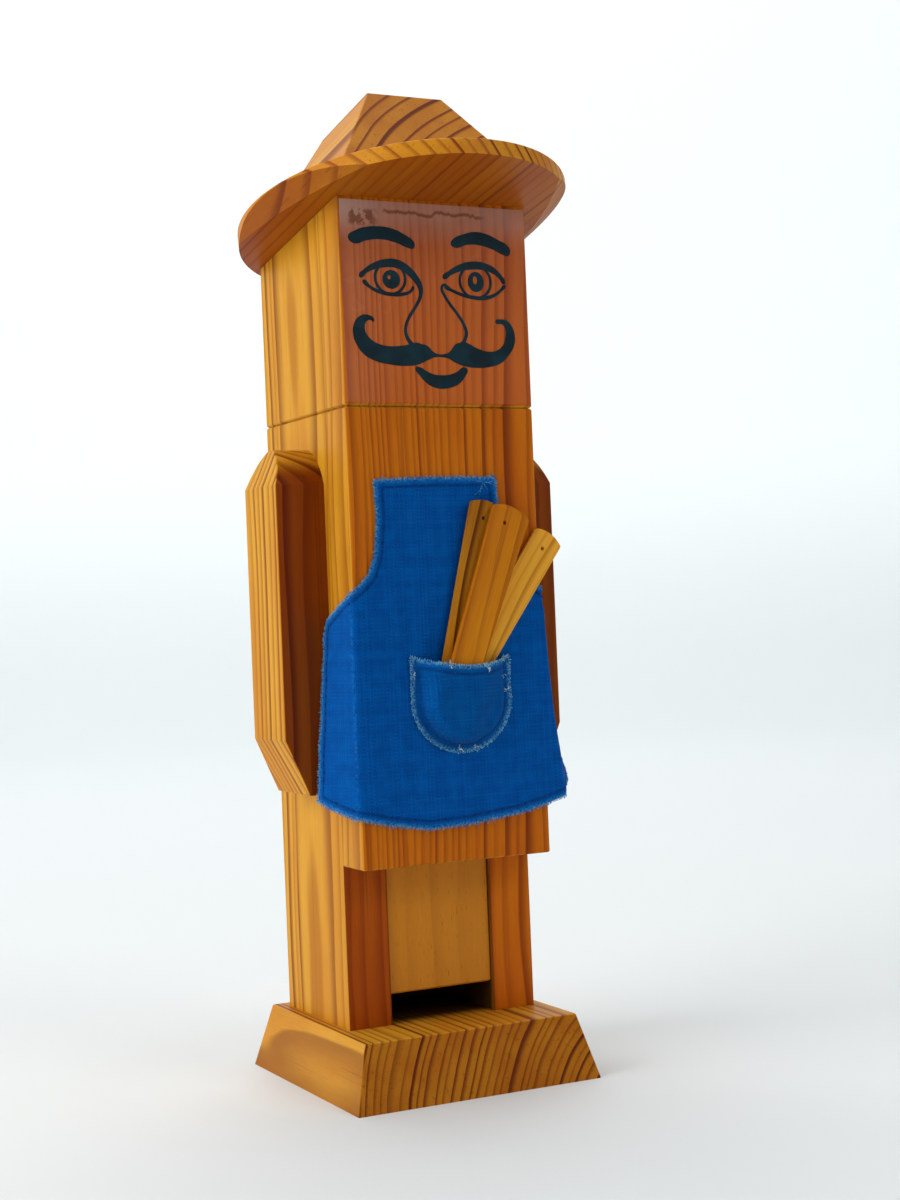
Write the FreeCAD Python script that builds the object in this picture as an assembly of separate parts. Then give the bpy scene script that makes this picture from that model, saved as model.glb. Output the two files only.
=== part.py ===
import FreeCAD, Part
import math
import os

# Press nutcracker made as a standing figure with a hat and an apron.
# Frame: +Z up, front faces -Y, +X to the right seen from the front.
# Origin: centre of the underside of the base. All sizes in millimetres.

os.makedirs("parts", exist_ok=True)
V = FreeCAD.Vector
ROT = FreeCAD.Rotation

# Base board, bevelled on all four sides
BASE_H = 22.2
BASE_BOTTOM = (92.6, 95.2)
BASE_TOP = (81.0, 83.4)

# Column: a glued box of boards, sawn through at the neck
COL_W = 72.0
COL_D = 72.5
FRONT_T = 17.0
BACK_T = 13.7
CHEEK_T = 16.0
HEM_Z = 78.5
SEAM_Z = 234.7
SEAM_GAP = 0.2
EDGE_R = 0.9
SEAM_EASE = 0.6

HALF_W = COL_W / 2.0
FRONT_Y = -COL_D / 2.0
BACK_Y = COL_D / 2.0
INNER_X = HALF_W - CHEEK_T
INNER_FRONT_Y = FRONT_Y + FRONT_T
INNER_BACK_Y = BACK_Y - BACK_T

# Head top slopes down to the back
HEAD_TOP_FRONT_Z = 305.7
HEAD_TILT = 9.63
HEAD_TOP_MID_Z = HEAD_TOP_FRONT_Z - COL_D / 2.0 * math.tan(math.radians(HEAD_TILT))

# Plunger: full section in the head, planed for a running fit below it
PLUNGER_BOTTOM_Z = 32.5
PLUNGER_GAP = 0.3
PLUNGER_FRONT_Y = -17.8
LIFT = 45.0

# Peg in the back board that stops the plunger
PEG_R = 3.0
PEG_Z = 150.0
PEG_REACH = 4.0
GROOVE_GAP = 0.3
GROOVE_DEPTH = 4.6

# Peg from behind that holds the plunger in the head
HEAD_PIN_R = 3.0
HEAD_PIN_Z = 262.0
HEAD_PIN_LEN = 32.0

# Hat, in its own tilted frame: x across, s along the slope, h above the head top
BRIM_T = 5.5
BRIM_A = 56.5
BRIM_B = 67.0
BRIM_MID_S = -11.0
BEVEL_AXIS = (167.9, 23.2)
BEVEL_R = 221.0
BEVEL_ANGLE = 33.0
CROWN_H = 38.0
CROWN_LAND = 5.0
CROWN_BASE = (-35.3, 35.3, -43.3, 41.2)
CROWN_TOP = (-14.5, 14.5, -25.5, 15.3)
HAT_EASE = 0.6
HAT_DOWEL_R = 4.0
HAT_DOWEL_S = (-8.0, 14.0)
HAT_DOWEL_H = (-22.0, 22.0)

# Film with the printed face
FILM_T = 0.2
FILM_X = (-35.2, 35.4)
FILM_Z = (236.0, 304.6)

# Arms
ARM_T = 18.0
ARM_Y = (-15.6, 13.7)
ARM_BOTTOM_Z = 103.3
ARM_SHOULDER_Z = 210.0
ARM_TOP_Z = 222.8
ARM_ELBOW_Z = 122.5
ARM_FOOT_T = 9.8
ARM_TOP_T = 13.6
ARM_EASE = 0.6
ARM_DOWEL_R = 4.0
ARM_DOWEL_Z = (140.0, 195.0)
ARM_DOWEL_REACH = 12.0

# Screws from below
SCREW_R = 2.0
SCREW_HEAD_R = 4.0
SCREW_HEAD_H = 2.6
SCREW_TIP_Z = 45.0
SCREW_SINK = 0.4
SCREW_AT = [(-28.0, -10.0), (28.0, -10.0), (-28.0, 14.0), (28.0, 14.0)]

# Apron
CLOTH_T = 0.7
FLAP_BACK_Y = -17.0
BIB_BOTTOM_Z = 160.0
SKIRT_TOP_Z = 175.0
SKIRT_LOW_Z = 85.0
FLAP_TOP_X = 36.6
FLAP_LOW_X = 43.6

# Pocket: outline half an ellipse under a straight band
POCKET_MID_X = 2.8
POCKET_HALF_W = 19.6
POCKET_TOP_Z = 148.8
POCKET_BEND_Z = 134.0
POCKET_BOTTOM_Z = 115.4
POCKET_FRONT_Y = -45.2
POCKET_TAPER = 2.6

# Rule: four slats on one rivet
SLAT_T = 1.4
SLAT_HALF_W = 5.75
SLAT_REACH = 68.0
SLAT_END = 6.2
SLAT_SHOULDER = 4.7
SLAT_GAP = 0.3
RIVET_X = -3.6
RIVET_Z = 130.0
RIVET_R = 0.6
RIVET_FIT = 0.05
SLAT_HOLE_R = 0.7
RULE_BACK_Y = -37.6
# Layers from the back to the front: name and lean from upright in degrees
SLATS = [("right", 35.8), ("left", 13.7), ("second", 22.4), ("front", 19.3)]


def export(shape, node):
    shape.exportStep("parts/" + node + ".step")


def block(x0, x1, y0, y1, z0, z1):
    return Part.makeBox(x1 - x0, y1 - y0, z1 - z0, V(x0, y0, z0))


def rod(radius, start, direction, length):
    return Part.makeCylinder(radius, length, V(*start), V(*direction))


def rect_wire(x0, x1, y0, y1, z):
    corners = [V(x0, y0, z), V(x1, y0, z), V(x1, y1, z), V(x0, y1, z), V(x0, y0, z)]
    return Part.makePolygon(corners)


def frustum(low, high, z0, z1):
    """Solid between two rectangles given as (x0, x1, y0, y1)."""
    return Part.makeLoft([rect_wire(*low, z0), rect_wire(*high, z1)], True, True)


def slab(points, thickness_vector):
    """Flat plate with the given closed outline, pushed along a vector."""
    wire = Part.makePolygon(points + [points[0]])
    return Part.Face(wire).extrude(thickness_vector)


def upright_edges(shape):
    """Edges that run straight up."""
    found = []
    for edge in shape.Edges:
        ends = [v.Point for v in edge.Vertexes]
        if len(ends) == 2 and abs(ends[0].x - ends[1].x) < 1e-6 and abs(ends[0].y - ends[1].y) < 1e-6:
            found.append(edge)
    return found


def level_edges(shape, z):
    """Edges that lie at one height."""
    return [e for e in shape.Edges if all(abs(v.Point.z - z) < 1e-6 for v in e.Vertexes)]


def hat_place():
    """Placement of the hat frame on the sloping head top."""
    return FreeCAD.Placement(V(0, 0, HEAD_TOP_MID_Z), ROT(V(1, 0, 0), -HEAD_TILT))


def in_hat_frame(shape):
    placed = shape.copy()
    placed.Placement = hat_place().multiply(placed.Placement)
    return placed


# ---------------------------------------------------------------- base

def screw_solid(x, y):
    """Countersunk screw turned about its own axis."""
    profile = [(0, SCREW_SINK), (SCREW_HEAD_R, SCREW_SINK), (SCREW_R, SCREW_SINK + SCREW_HEAD_H),
               (SCREW_R, SCREW_TIP_Z - SCREW_R), (0, SCREW_TIP_Z)]
    points = [V(x + r, y, z) for r, z in profile]
    half = Part.Face(Part.makePolygon(points + [points[0]]))
    return half.revolve(V(x, y, 0), V(0, 0, 1), 360)


def screw_slot(x, y):
    return block(x - 5.0, x + 5.0, y - 0.5, y + 0.5, SCREW_SINK - 1.0, SCREW_SINK + 1.0)


def screw_mouth(x, y):
    return rod(SCREW_HEAD_R, (x, y, 0), (0, 0, 1), SCREW_SINK)


def screw_solids():
    return [screw_solid(x, y) for x, y in SCREW_AT]


def make_base():
    low = (-BASE_BOTTOM[0] / 2, BASE_BOTTOM[0] / 2, -BASE_BOTTOM[1] / 2, BASE_BOTTOM[1] / 2)
    high = (-BASE_TOP[0] / 2, BASE_TOP[0] / 2, -BASE_TOP[1] / 2, BASE_TOP[1] / 2)
    board = frustum(low, high, 0, BASE_H)
    rims = [e for e in board.Edges if max(v.Point.z for v in e.Vertexes) > 1.0]
    board = board.makeFillet(0.8, rims)
    mouths = [screw_mouth(x, y) for x, y in SCREW_AT]
    export(board.cut(screw_solids() + mouths), "base")


def make_screws():
    screws = [screw_solid(x, y).cut(screw_slot(x, y)) for x, y in SCREW_AT]
    export(Part.makeCompound(screws), "base_screws")


# ---------------------------------------------------------------- column

def body_envelope():
    """Outside of the lower column, with eased corners."""
    solid = block(-HALF_W, HALF_W, FRONT_Y, BACK_Y, BASE_H, SEAM_Z)
    solid = solid.makeFillet(EDGE_R, upright_edges(solid))
    return solid.makeChamfer(SEAM_EASE, level_edges(solid, SEAM_Z))


def head_envelope():
    """Outside of the head, with eased corners and the sloping top."""
    low = SEAM_Z + SEAM_GAP
    solid = block(-HALF_W, HALF_W, FRONT_Y, BACK_Y, low, HEAD_TOP_FRONT_Z + 5)
    solid = solid.makeFillet(EDGE_R, upright_edges(solid))
    solid = solid.makeChamfer(SEAM_EASE, level_edges(solid, low))
    above = in_hat_frame(block(-80, 80, -80, 80, 0, 60))
    return solid.cut(above)


def arm_dowel(side, z):
    start = (side * (HALF_W - ARM_DOWEL_REACH), sum(ARM_Y) / 2.0, z)
    return rod(ARM_DOWEL_R, start, (side, 0, 0), 2 * ARM_DOWEL_REACH)


def arm_dowels():
    return [arm_dowel(side, z) for side in (-1, 1) for z in ARM_DOWEL_Z]


def stop_peg():
    return rod(PEG_R, (0, BACK_Y, PEG_Z), (0, -1, 0), BACK_T + PEG_REACH)


def head_pin():
    return rod(HEAD_PIN_R, (0, BACK_Y, HEAD_PIN_Z), (0, -1, 0), HEAD_PIN_LEN)


def make_column():
    hull = body_envelope()
    front = hull.common(block(-HALF_W, HALF_W, FRONT_Y, INNER_FRONT_Y, HEM_Z, SEAM_Z))
    rim = [e for e in level_edges(front, HEM_Z) if e.Length > 60 and e.CenterOfMass.y < FRONT_Y + 1]
    export(front.makeChamfer(0.4, rim), "front_board")
    back = hull.common(block(-HALF_W, HALF_W, INNER_BACK_Y, BACK_Y, BASE_H, SEAM_Z))
    export(back.cut(stop_peg()), "back_board")
    for side, name in ((-1, "cheek_left"), (1, "cheek_right")):
        edges = sorted((side * INNER_X, side * HALF_W))
        cheek = hull.common(block(*edges, INNER_FRONT_Y, INNER_BACK_Y, BASE_H, SEAM_Z))
        export(cheek.cut(screw_solids() + arm_dowels()), name)
    export(stop_peg(), "stop_peg")


def make_head():
    hull = head_envelope()
    low = SEAM_Z
    high = HEAD_TOP_FRONT_Z + 5
    export(hull.common(block(-HALF_W, HALF_W, FRONT_Y, INNER_FRONT_Y, low, high)), "head_front_board")
    back = hull.common(block(-HALF_W, HALF_W, INNER_BACK_Y, BACK_Y, low, high))
    export(back.cut(head_pin()), "head_back_board")
    for side, name in ((-1, "head_cheek_left"), (1, "head_cheek_right")):
        edges = sorted((side * INNER_X, side * HALF_W))
        export(hull.common(block(*edges, INNER_FRONT_Y, INNER_BACK_Y, low, high)), name)
    export(head_pin(), "head_pin")
    export(block(*FILM_X, FRONT_Y - FILM_T, FRONT_Y, *FILM_Z), "face_film")


def plunger_groove():
    """Long groove in the back of the plunger for the stop peg."""
    radius = PEG_R + GROOVE_GAP
    start_y = INNER_BACK_Y
    depth = PLUNGER_GAP + GROOVE_DEPTH
    top = rod(radius, (0, start_y, PEG_Z), (0, -1, 0), depth)
    bottom = rod(radius, (0, start_y, PEG_Z - LIFT), (0, -1, 0), depth)
    middle = block(-radius, radius, start_y - depth, start_y, PEG_Z - LIFT, PEG_Z)
    return top.fuse([bottom, middle])


def make_plunger():
    side = INNER_X - PLUNGER_GAP
    back = INNER_BACK_Y - PLUNGER_GAP
    slide = block(-side, side, PLUNGER_FRONT_Y, back, PLUNGER_BOTTOM_Z, SEAM_Z + 2)
    slide = slide.makeChamfer(0.6, level_edges(slide, PLUNGER_BOTTOM_Z))
    socket = block(-INNER_X, INNER_X, INNER_FRONT_Y, INNER_BACK_Y, SEAM_Z, HEAD_TOP_FRONT_Z)
    shoulder = head_envelope().common(socket)
    plunger = slide.fuse(shoulder).removeSplitter()
    cuts = [plunger_groove(), head_pin()] + [in_hat_frame(d) for d in hat_dowels()]
    export(plunger.cut(cuts), "plunger")


# ---------------------------------------------------------------- hat

def hat_dowels():
    low, high = HAT_DOWEL_H
    return [rod(HAT_DOWEL_R, (0, s, low), (0, 0, 1), high - low) for s in HAT_DOWEL_S]


def brim_bevel(side):
    """Cone that trims the brim's underside along one side."""
    growth = BRIM_T / math.tan(math.radians(BEVEL_ANGLE))
    centre = V(-side * BEVEL_AXIS[0], BEVEL_AXIS[1], 0)
    return Part.makeCone(BEVEL_R, BEVEL_R + growth, BRIM_T, centre, V(0, 0, 1))


def make_hat():
    # The long half-axis of the oval runs along the slope.
    outline = Part.Ellipse(V(0, BRIM_MID_S + BRIM_B, 0), V(BRIM_A, BRIM_MID_S, 0), V(0, BRIM_MID_S, 0))
    oval = Part.Face(Part.Wire(outline.toShape())).extrude(V(0, 0, BRIM_T))
    brim = oval.common(brim_bevel(-1)).common(brim_bevel(1))
    brim = brim.makeFillet(HAT_EASE, level_edges(brim, BRIM_T)).cut(hat_dowels())
    export(in_hat_frame(brim), "hat_brim")
    land_z = BRIM_T + CROWN_LAND
    land = block(*CROWN_BASE, BRIM_T, land_z)
    crown = land.fuse(frustum(CROWN_BASE, CROWN_TOP, land_z, BRIM_T + CROWN_H)).removeSplitter()
    upper = [e for e in crown.Edges if max(v.Point.z for v in e.Vertexes) > land_z + 1]
    crown = crown.makeFillet(HAT_EASE, upper)
    export(in_hat_frame(crown.cut(hat_dowels())), "hat_crown")
    export(Part.makeCompound([in_hat_frame(d) for d in hat_dowels()]), "hat_dowels")


# ---------------------------------------------------------------- arms

def arm_side_profile(x):
    """Outline seen from the side: straight with a rounded shoulder."""
    y0, y1 = ARM_Y
    mid = (y0 + y1) / 2.0
    flat = 2.6
    low0, low1 = V(x, y0, ARM_BOTTOM_Z), V(x, y1, ARM_BOTTOM_Z)
    crease0, crease1 = V(x, y0, ARM_SHOULDER_Z), V(x, y1, ARM_SHOULDER_Z)
    top0, top1 = V(x, mid - flat, ARM_TOP_Z), V(x, mid + flat, ARM_TOP_Z)
    bulge0 = V(x, y0 + 4.4, ARM_SHOULDER_Z + 7.4)
    bulge1 = V(x, y1 - 4.4, ARM_SHOULDER_Z + 7.4)
    edges = [
        Part.LineSegment(low0, crease0).toShape(),
        Part.Arc(crease0, bulge0, top0).toShape(),
        Part.LineSegment(top0, top1).toShape(),
        Part.Arc(top1, bulge1, crease1).toShape(),
        Part.LineSegment(crease1, low1).toShape(),
        Part.LineSegment(low1, low0).toShape(),
    ]
    return Part.Face(Part.Wire(edges))


def arm_front_profile(side):
    """Outline seen from the front: bevelled shoulder and tapered hand."""
    y = ARM_Y[0] - 5
    outer = HALF_W + ARM_T
    corners = [
        (HALF_W, ARM_BOTTOM_Z),
        (HALF_W + ARM_FOOT_T, ARM_BOTTOM_Z),
        (outer, ARM_ELBOW_Z),
        (outer, ARM_SHOULDER_Z),
        (HALF_W + ARM_TOP_T, ARM_TOP_Z),
        (HALF_W, ARM_TOP_Z),
    ]
    return slab([V(side * x, y, z) for x, z in corners], V(0, ARM_Y[1] - ARM_Y[0] + 10, 0))


def make_arms():
    for side, name in ((-1, "arm_left"), (1, "arm_right")):
        profile = arm_side_profile(side * HALF_W)
        arm = profile.extrude(V(side * ARM_T, 0, 0)).common(arm_front_profile(side))
        outer = [e for e in arm.Edges if min(abs(v.Point.x) for v in e.Vertexes) > HALF_W + 0.5]
        arm = arm.makeFillet(ARM_EASE, outer)
        export(arm.cut(arm_dowels()), name)
    export(Part.makeCompound(arm_dowels()), "arm_dowels")


# ---------------------------------------------------------------- apron

def skirt_section(z, end_x):
    """Level section of the skirt: across the front and back along both sides."""
    inner_x = HALF_W + 0.3
    outer_x = inner_x + CLOTH_T
    outer_y = FRONT_Y - CLOTH_T
    right = [
        V(end_x, FLAP_BACK_Y, z),
        V(end_x + CLOTH_T, FLAP_BACK_Y, z),
        V(outer_x, outer_y, z),
    ]
    left = [V(-outer_x, outer_y, z), V(-end_x - CLOTH_T, FLAP_BACK_Y, z), V(-end_x, FLAP_BACK_Y, z)]
    inside = [V(-inner_x, FRONT_Y, z), V(inner_x, FRONT_Y, z)]
    corners = right + left + inside
    return Part.makePolygon(corners + [corners[0]])


def skirt_front_outline():
    """Hem and waist line seen from the front."""
    points = [(-55, 101), (-37.4, 97), (-24.6, 93.1), (-11.4, 90.6), (5.5, 91.2), (25.1, 93.9),
              (37.3, 97.1), (55, 101), (55, 176), (-55, 176)]
    return slab([V(x, -60, z) for x, z in points], V(0, 60, 0))


def skirt_side_outline():
    """Upper and lower ends of the flaps seen from the side."""
    points = [(-60, 80), (-37, 80), (-36, 97), (FLAP_BACK_Y - 3, 101.5), (FLAP_BACK_Y, 105),
              (FLAP_BACK_Y, 161.8), (-37, 171.6), (-60, 171.6)]
    return slab([V(-60, y, z) for y, z in points], V(120, 0, 0))


def bib():
    """Upper panel with the two curved armholes."""
    right = [(36.6, 171.6), (30.0, 174.5), (24.5, 180.0), (21.6, 188.0), (20.6, 200.0), (19.8, 210.6)]
    left = [(-26.8, 209.7), (-26.3, 197.2), (-27.2, 185.1), (-29.4, 178.4), (-36.6, 171.6)]
    points = right + left + [(-36.6, BIB_BOTTOM_Z), (36.6, BIB_BOTTOM_Z)]
    return slab([V(x, FRONT_Y, z) for x, z in points], V(0, -CLOTH_T, 0))


def make_apron():
    low = skirt_section(SKIRT_LOW_Z, FLAP_LOW_X)
    high = skirt_section(SKIRT_TOP_Z, FLAP_TOP_X)
    skirt = Part.makeLoft([low, high], True, True)
    skirt = skirt.common(skirt_front_outline()).common(skirt_side_outline())
    export(skirt.fuse(bib()).removeSplitter(), "apron")


def pocket_wire(inset, y, top_z):
    """Pocket outline in a plane facing forward."""
    half = POCKET_HALF_W - inset
    drop = POCKET_BEND_Z - POCKET_BOTTOM_Z - inset
    left = V(POCKET_MID_X - half, y, POCKET_BEND_Z)
    right = V(POCKET_MID_X + half, y, POCKET_BEND_Z)
    centre = V(POCKET_MID_X, y, POCKET_BEND_Z)
    oval = Part.Ellipse(left, V(POCKET_MID_X, y, POCKET_BEND_Z - drop), centre)
    bend = Part.ArcOfEllipse(oval, 0, math.pi)
    top_left = V(left.x, y, top_z)
    top_right = V(right.x, y, top_z)
    sides = [Part.LineSegment(left, top_left), Part.LineSegment(top_left, top_right),
             Part.LineSegment(top_right, right)]
    return Part.Wire(Part.__sortEdges__([bend.toShape()] + [s.toShape() for s in sides]))


def make_pocket():
    cloth_y = FRONT_Y - CLOTH_T
    inner_y = POCKET_FRONT_Y + CLOTH_T
    outer = Part.makeLoft([pocket_wire(0, cloth_y, POCKET_TOP_Z),
                           pocket_wire(POCKET_TAPER, POCKET_FRONT_Y, POCKET_TOP_Z)], True, True)
    room = Part.makeLoft([pocket_wire(CLOTH_T, cloth_y, POCKET_TOP_Z + 5),
                          pocket_wire(POCKET_TAPER + CLOTH_T / 2, inner_y, POCKET_TOP_Z + 5)], True, True)
    export(outer.cut(room), "pocket")


# ---------------------------------------------------------------- rule

def slat_outline():
    """Slat upright on the rivet: round lower end, blunt upper end."""
    w = SLAT_HALF_W
    shoulder = SLAT_REACH + SLAT_SHOULDER
    low_left, low_right = V(-w, 0, 0), V(w, 0, 0)
    top_left, top_right = V(-w, 0, shoulder), V(w, 0, shoulder)
    edges = [
        Part.Arc(low_left, V(0, 0, -w), low_right).toShape(),
        Part.LineSegment(low_right, top_right).toShape(),
        Part.Arc(top_right, V(0, 0, SLAT_REACH + SLAT_END), top_left).toShape(),
        Part.LineSegment(top_left, low_left).toShape(),
    ]
    return Part.Face(Part.Wire(edges))


def make_slat(name, lean, back_y, rivet_hole_r):
    slat = slat_outline().extrude(V(0, -SLAT_T, 0))
    corners = [e for e in slat.Edges if abs(e.Length - SLAT_T) < 1e-6 and e.CenterOfMass.z > 10]
    slat = slat.makeFillet(1.2, corners)
    rivet_hole = rod(rivet_hole_r, (0, 1, 0), (0, -1, 0), SLAT_T + 2)
    pin_hole = rod(SLAT_HOLE_R, (0, 1, SLAT_REACH), (0, -1, 0), SLAT_T + 2)
    slat = slat.cut([rivet_hole, pin_hole])
    slat.rotate(V(0, 0, 0), V(0, 1, 0), lean)
    slat.translate(V(RIVET_X, back_y, RIVET_Z))
    export(slat, "rule_slat_" + name)


def make_rule():
    step = SLAT_T + SLAT_GAP
    for layer, (name, lean) in enumerate(SLATS):
        hole = RIVET_R if name == "front" else RIVET_R + RIVET_FIT
        make_slat(name, lean, RULE_BACK_Y - layer * step, hole)
    length = len(SLATS) * step - SLAT_GAP
    export(rod(RIVET_R, (RIVET_X, RULE_BACK_Y, RIVET_Z), (0, -1, 0), length), "rule_rivet")


make_base()
make_screws()
make_column()
make_head()
make_plunger()
make_hat()
make_arms()
make_apron()
make_pocket()
make_rule()
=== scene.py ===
import math
import random

import bmesh
import bpy
from mathutils import Matrix, Vector, noise
from mathutils.kdtree import KDTree


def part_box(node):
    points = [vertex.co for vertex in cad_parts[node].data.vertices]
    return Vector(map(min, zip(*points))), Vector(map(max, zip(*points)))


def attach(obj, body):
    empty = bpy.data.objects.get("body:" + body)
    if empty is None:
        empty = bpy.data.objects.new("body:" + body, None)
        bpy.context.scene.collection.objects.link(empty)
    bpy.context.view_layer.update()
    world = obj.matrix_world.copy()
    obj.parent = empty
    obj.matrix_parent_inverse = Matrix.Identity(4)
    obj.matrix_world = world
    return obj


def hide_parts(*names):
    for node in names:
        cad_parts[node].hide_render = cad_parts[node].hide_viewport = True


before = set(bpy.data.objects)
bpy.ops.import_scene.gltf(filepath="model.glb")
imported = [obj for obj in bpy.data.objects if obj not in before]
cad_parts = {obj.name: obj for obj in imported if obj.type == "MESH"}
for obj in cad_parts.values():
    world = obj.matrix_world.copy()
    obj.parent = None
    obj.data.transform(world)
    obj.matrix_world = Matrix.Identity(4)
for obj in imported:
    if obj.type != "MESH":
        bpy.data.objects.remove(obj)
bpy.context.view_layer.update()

MM = 0.001
SCENE = bpy.context.scene

# Camera and room
CAMERA_PLACE = (-0.2994, -0.6317, 0.1629)
CAMERA_YAW = math.radians(-26.73)
CAMERA_PITCH = math.radians(0.467)
CAMERA_ROLL = math.radians(2.346)
CAMERA_LENS = 58.2
ROOM_RADIUS = 3.2
ROOM_CURVE = 1.2
ROOM_CURVE_STEPS = 8
ROOM_HEIGHT = 3.4
DAYLIGHT = (0.9, 0.96, 1.0, 1)
DAYLIGHT_STRENGTH = 0.2

# Each lamp's name, place, aim, width and height in metres, power in watts, and colour
LAMPS = (
    ("window", (-1.7, -0.15, 0.9), (0, 0, 0.17), (1.5, 1.7), 26, (1.0, 0.985, 0.955)),
    ("ceiling", (0.0, 0.1, 2.3), (0, 0.1, 0), (1.5, 1.5), 16, (0.97, 0.99, 1.0)),
    ("front_right", (0.7, -1.5, 1.2), (0, 0, 0.2), (0.7, 0.6), 6, (1.0, 0.99, 0.97)),
    ("wall_wash", (0.3, 1.0, 2.7), (1.0, 3.0, 0.7), (1.8, 0.8), 46, (0.93, 0.985, 1.0)),
)

# Wood: how far each slat leans to the right and how steeply the hat slopes, in degrees
SLAT_LEANS = {"front": 19.3, "second": 22.4, "left": 13.7, "right": 35.8}
HAT_SLOPE = 9.6

# Cloth, in millimetres; the flat cloth is measured across (a) and up (z)
CLOTH_THICK = 0.6
THREAD_PITCH = 0.62
UV_SIZE = 130.0
UV_FOOT = 85.0
WEFT_SEED = 400
OUTLINE_STEPS = 160
APRON_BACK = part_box("front_board")[0].y / MM - 0.05
APRON_MIDDLE = APRON_BACK - CLOTH_THICK / 2
APRON_BEND = 1.6
APRON_TOP = 210.0
APRON_BOTTOM = 92.0
APRON_CELLS = (108, 108)
APRON_SEAM = 2.6
APRON_SEAM_LIFT = 0.32
FLAP_FREE = 18.0
POCKET_MIDDLE = 2.8
POCKET_HALF = 19.0
POCKET_BEND = 134.0
POCKET_DROP = 18.0
POCKET_TOP = 149.2
POCKET_SAG = 3.5
POCKET_BULGE = 7.6
POCKET_CELLS = (56, 44)
POCKET_SEAM = 2.9
POCKET_SEAM_LIFT = 0.3
POCKET_RIM = 3.4
RIVET = sum(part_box("rule_rivet"), Vector()) / 2 / MM
STITCH = 2.1
STITCH_GAP = 0.75
STITCH_RADIUS = 0.26
FRAY_RADIUS = 0.15
LOOSE_RADIUS = 0.1
TUFT_RADIUS = 0.11

# Printed face, in millimetres; the foot is the height that the print is drawn from
FACE_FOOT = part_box("face_film")[0].z / MM - 1.3
FACE_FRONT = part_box("face_film")[0].y / MM
INK_THICK = 0.05
INK_GAP = 0.02
INK_STEP = 0.004


# ---------------------------------------------------------------- shader sums

class Number:
    """A number that varies over a surface. Sums written with it become Math nodes."""

    def __init__(self, finish, socket):
        self.finish = finish
        self.socket = socket

    def math(self, operation, *others):
        sockets = dict(enumerate((self, *others)))
        made = self.finish.node("Math", {"operation": operation}, sockets)
        return Number(self.finish, made.outputs[0])

    def __add__(self, other):
        return self.math("ADD", other)

    def __sub__(self, other):
        return self.math("SUBTRACT", other)

    def __rsub__(self, other):
        return self.math("MULTIPLY", -1.0).math("ADD", other)

    def __mul__(self, other):
        return self.math("MULTIPLY", other)

    def __truediv__(self, other):
        return self.math("DIVIDE", other)

    def __pow__(self, other):
        return self.math("POWER", other)

    def size(self):
        return self.math("ABSOLUTE")

    def floor(self):
        return self.math("FLOOR")

    def part(self):
        return self.math("FRACT")

    def sine(self):
        return self.math("SINE")

    def root(self):
        return self.math("SQRT")

    def least(self, other):
        return self.math("MINIMUM", other)

    def most(self, other):
        return self.math("MAXIMUM", other)

    def above(self, other):
        return self.math("GREATER_THAN", other)

    def rise(self, low, high):
        """0 up to low, 1 from high on, and an even curve between."""
        made = self.finish.node(
            "MapRange",
            {"interpolation_type": "SMOOTHSTEP"},
            {"Value": self, "From Min": low, "From Max": high},
        )
        return Number(self.finish, made.outputs["Result"])


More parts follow.
